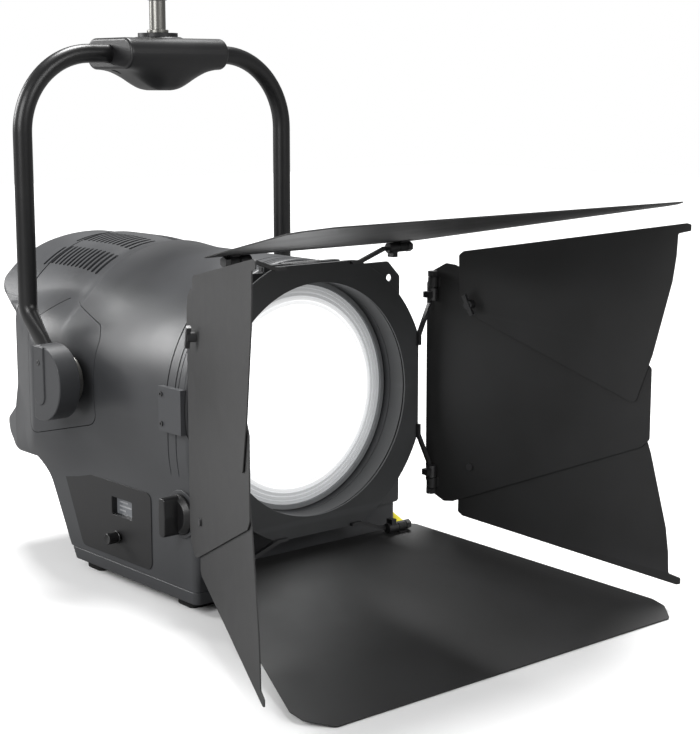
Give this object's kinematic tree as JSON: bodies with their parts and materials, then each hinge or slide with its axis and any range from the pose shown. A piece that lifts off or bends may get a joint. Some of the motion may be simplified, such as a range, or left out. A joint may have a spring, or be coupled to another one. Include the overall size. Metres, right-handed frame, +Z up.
{
  "type": "fresnel spotlight",
  "caption": "Fresnel spotlight with barn doors and folding wings, a sliding lamp engine driven by a knob or a pole cup, a tilting yoke and a stud spigot.",
  "frame": {"origin": "on the beam axis, at the front face of the barn-door ring", "axes": "-Y is the way the beam goes, +Z is up towards the yoke and spigot, +X is on the right seen from the front"},
  "size_m": [0.4942, 0.6769, 0.6272],
  "materials": {
    "housing_paint": "satin",
    "frame_paint": "satin",
    "leaf_paint": "satin",
    "yoke_paint": "satin",
    "black_steel": "satin",
    "bright_steel": "satin",
    "bare_aluminium": "satin",
    "panel_paint": "matte",
    "lens_glass": "gloss",
    "display": "gloss",
    "black_plastic": "matte",
    "cup_yellow": "satin",
    "foot_rubber": "matte",
    "led_phosphor": "matte",
    "circuit_board": "matte",
    "black_cast": "satin"
  },
  "bodies": {
    "housing": {"front_bezel": "frame_paint", "barrel_shell": "housing_paint", "rear_shell": "housing_paint", "rear_hood": "housing_paint", "left_side_cover": "housing_paint", "right_side_cover": "housing_paint", "base_tray": "frame_paint", "feet": "foot_rubber", "accessory_holder": "frame_paint", "holder_brackets": "housing_paint", "housing_screws": "black_steel", "lens": "lens_glass", "lens_retainer": "frame_paint", "control_panel": "panel_paint", "display_window": "display", "knob_seat": "frame_paint", "cup_gearbox": "frame_paint", "carriage_rails": "frame_paint", "power_supply": "bare_aluminium", "control_board": "circuit_board", "rear_panel": "frame_paint", "panel_connectors": "black_plastic", "pivot_hubs": "bright_steel", "door_base_plate": "frame_paint"},
    "holder_latch": {"holder_latch": "black_steel"},
    "encoder_shaft": {"encoder_shaft": "bright_steel"},
    "encoder_knob": {"encoder_knob": "black_plastic"},
    "focus_knob": {"focus_knob": "black_plastic"},
    "idler_gear": {"idler_gear": "bare_aluminium"},
    "cross_shaft": {"cross_shaft": "bright_steel"},
    "lead_screw": {"lead_screw": "bright_steel"},
    "focus_cup": {"focus_cup": "cup_yellow"},
    "carriage": {"carriage": "bare_aluminium", "led_module": "led_phosphor", "heat_sink": "bare_aluminium", "fan_frame": "black_plastic"},
    "fan_rotor": {"fan_rotor": "black_plastic"},
    "yoke": {"yoke_arm_left": "yoke_paint", "yoke_arm_right": "yoke_paint", "pivot_disc_left": "housing_paint", "pivot_disc_right": "housing_paint", "yoke_head_top": "black_cast", "yoke_head_base": "black_cast", "spigot_flange": "black_steel"},
    "spigot": {"spigot": "bright_steel", "spigot_nut": "bright_steel"},
    "door_ring": {"door_ring": "frame_paint", "hinge_straps": "black_steel", "hinge_clamps": "black_steel"},
    "top_leaf": {"top_leaf": "leaf_paint"},
    "bottom_leaf": {"bottom_leaf": "leaf_paint"},
    "left_leaf": {"left_leaf": "leaf_paint", "left_wing_levers": "black_steel"},
    "right_leaf": {"right_leaf": "leaf_paint", "right_wing_levers": "black_steel"},
    "left_upper_wing": {"left_upper_wing": "leaf_paint"},
    "left_lower_wing": {"left_lower_wing": "leaf_paint"},
    "right_upper_wing": {"right_upper_wing": "leaf_paint"},
    "right_lower_wing": {"right_lower_wing": "leaf_paint"}
  },
  "joints": [
    {"name": "yoke_tilt", "type": "hinge", "parent": "housing", "child": "yoke", "pos_m": [0, 0.213, 0.008], "axis": [-1, 0, 0], "range_deg": [-45, 115]},
    {"name": "spigot_pan", "type": "hinge", "parent": "yoke", "child": "spigot", "pos_m": [0, 0.257, 0.3425], "axis": [0, 0, 1], "continuous": true},
    {"name": "door_ring_turn", "type": "hinge", "parent": "housing", "child": "door_ring", "pos_m": [0, 0, 0], "axis": [0, 1, 0], "continuous": true},
    {"name": "top_leaf_fold", "type": "hinge", "parent": "door_ring", "child": "top_leaf", "pos_m": [0, -0.005, 0.1395], "axis": [-1, 0, 0], "range_deg": [0, 78.5]},
    {"name": "bottom_leaf_fold", "type": "hinge", "parent": "door_ring", "child": "bottom_leaf", "pos_m": [0, -0.005, -0.1395], "axis": [1, 0, 0], "range_deg": [0, 78.5]},
    {"name": "right_leaf_fold", "type": "hinge", "parent": "door_ring", "child": "right_leaf", "pos_m": [0.1435, -0.005, 0], "axis": [0, 0, 1], "range_deg": [-47, 71]},
    {"name": "left_leaf_fold", "type": "hinge", "parent": "door_ring", "child": "left_leaf", "pos_m": [-0.1435, -0.005, 0], "axis": [0, 0, -1], "range_deg": [-52, 66]},
    {"name": "right_upper_wing_fold", "type": "hinge", "parent": "right_leaf", "child": "right_upper_wing", "pos_m": [0.16243, -0.04185, 0.082], "axis": [0.9455, 0.3256, 0], "range_deg": [0, 31]},
    {"name": "right_lower_wing_fold", "type": "hinge", "parent": "right_leaf", "child": "right_lower_wing", "pos_m": [0.16243, -0.04185, -0.082], "axis": [-0.9455, -0.3256, 0], "range_deg": [0, 31]},
    {"name": "left_lower_wing_fold", "type": "hinge", "parent": "left_leaf", "child": "left_lower_wing", "pos_m": [-0.16557, -0.04006, -0.082], "axis": [-0.9135, 0.4067, 0], "range_deg": [0, 31]},
    {"name": "left_upper_wing_fold", "type": "hinge", "parent": "left_leaf", "child": "left_upper_wing", "pos_m": [-0.16557, -0.04006, 0.082], "axis": [0.9135, -0.4067, 0], "range_deg": [0, 31]},
    {"name": "focus_slide", "type": "slide", "parent": "housing", "child": "carriage", "axis": [0, 1, 0], "range_m": [-0.045, 0.045]},
    {"name": "focus_knob_turn", "type": "hinge", "parent": "housing", "child": "focus_knob", "pos_m": [-0.137, 0.047, -0.099], "axis": [1, 0, 0], "range_deg": [-648.2, 648.2]},
    {"name": "idler_gear_turn", "type": "hinge", "parent": "housing", "child": "idler_gear", "pos_m": [-0.11, 0.066, -0.113], "axis": [1, 0, 0], "range_deg": [-648.2, 648.2]},
    {"name": "cross_shaft_turn", "type": "hinge", "parent": "housing", "child": "cross_shaft", "pos_m": [0, 0.085, -0.127], "axis": [1, 0, 0], "range_deg": [-648.2, 648.2]},
    {"name": "lead_screw_turn", "type": "hinge", "parent": "housing", "child": "lead_screw", "pos_m": [-0.09, 0.15, -0.127], "axis": [0, 1, 0], "range_deg": [-648.2, 648.2]},
    {"name": "focus_cup_turn", "type": "hinge", "parent": "housing", "child": "focus_cup", "pos_m": [0.154, 0.085, -0.15], "axis": [0, 0, 1], "range_deg": [-648.2, 648.2]},
    {"name": "fan_spin", "type": "hinge", "parent": "carriage", "child": "fan_rotor", "pos_m": [0, 0.235, 0.001], "axis": [0, 1, 0], "continuous": true},
    {"name": "encoder_push", "type": "slide", "parent": "housing", "child": "encoder_shaft", "axis": [1, 0, 0], "range_m": [0, 0.0015], "stiffness_N_per_m": 400, "springref_m": -0.004},
    {"name": "encoder_turn", "type": "hinge", "parent": "encoder_shaft", "child": "encoder_knob", "pos_m": [-0.132, 0.156, -0.144], "axis": [1, 0, 0], "continuous": true},
    {"name": "latch_lift", "type": "hinge", "parent": "housing", "child": "holder_latch", "pos_m": [0, 0.0265, 0.126], "axis": [-1, 0, 0], "range_deg": [0, 60], "stiffness_Nm_per_rad": 0.02, "springref_deg": -28.65}
  ],
  "couplings": [
    {"joint": "focus_knob_turn", "follows": "focus_slide", "rad_per_m": 251.33},
    {"joint": "idler_gear_turn", "follows": "focus_slide", "rad_per_m": -251.33},
    {"joint": "cross_shaft_turn", "follows": "focus_slide", "rad_per_m": 251.33},
    {"joint": "lead_screw_turn", "follows": "focus_slide", "rad_per_m": 251.33},
    {"joint": "focus_cup_turn", "follows": "focus_slide", "rad_per_m": 251.33}
  ]
}
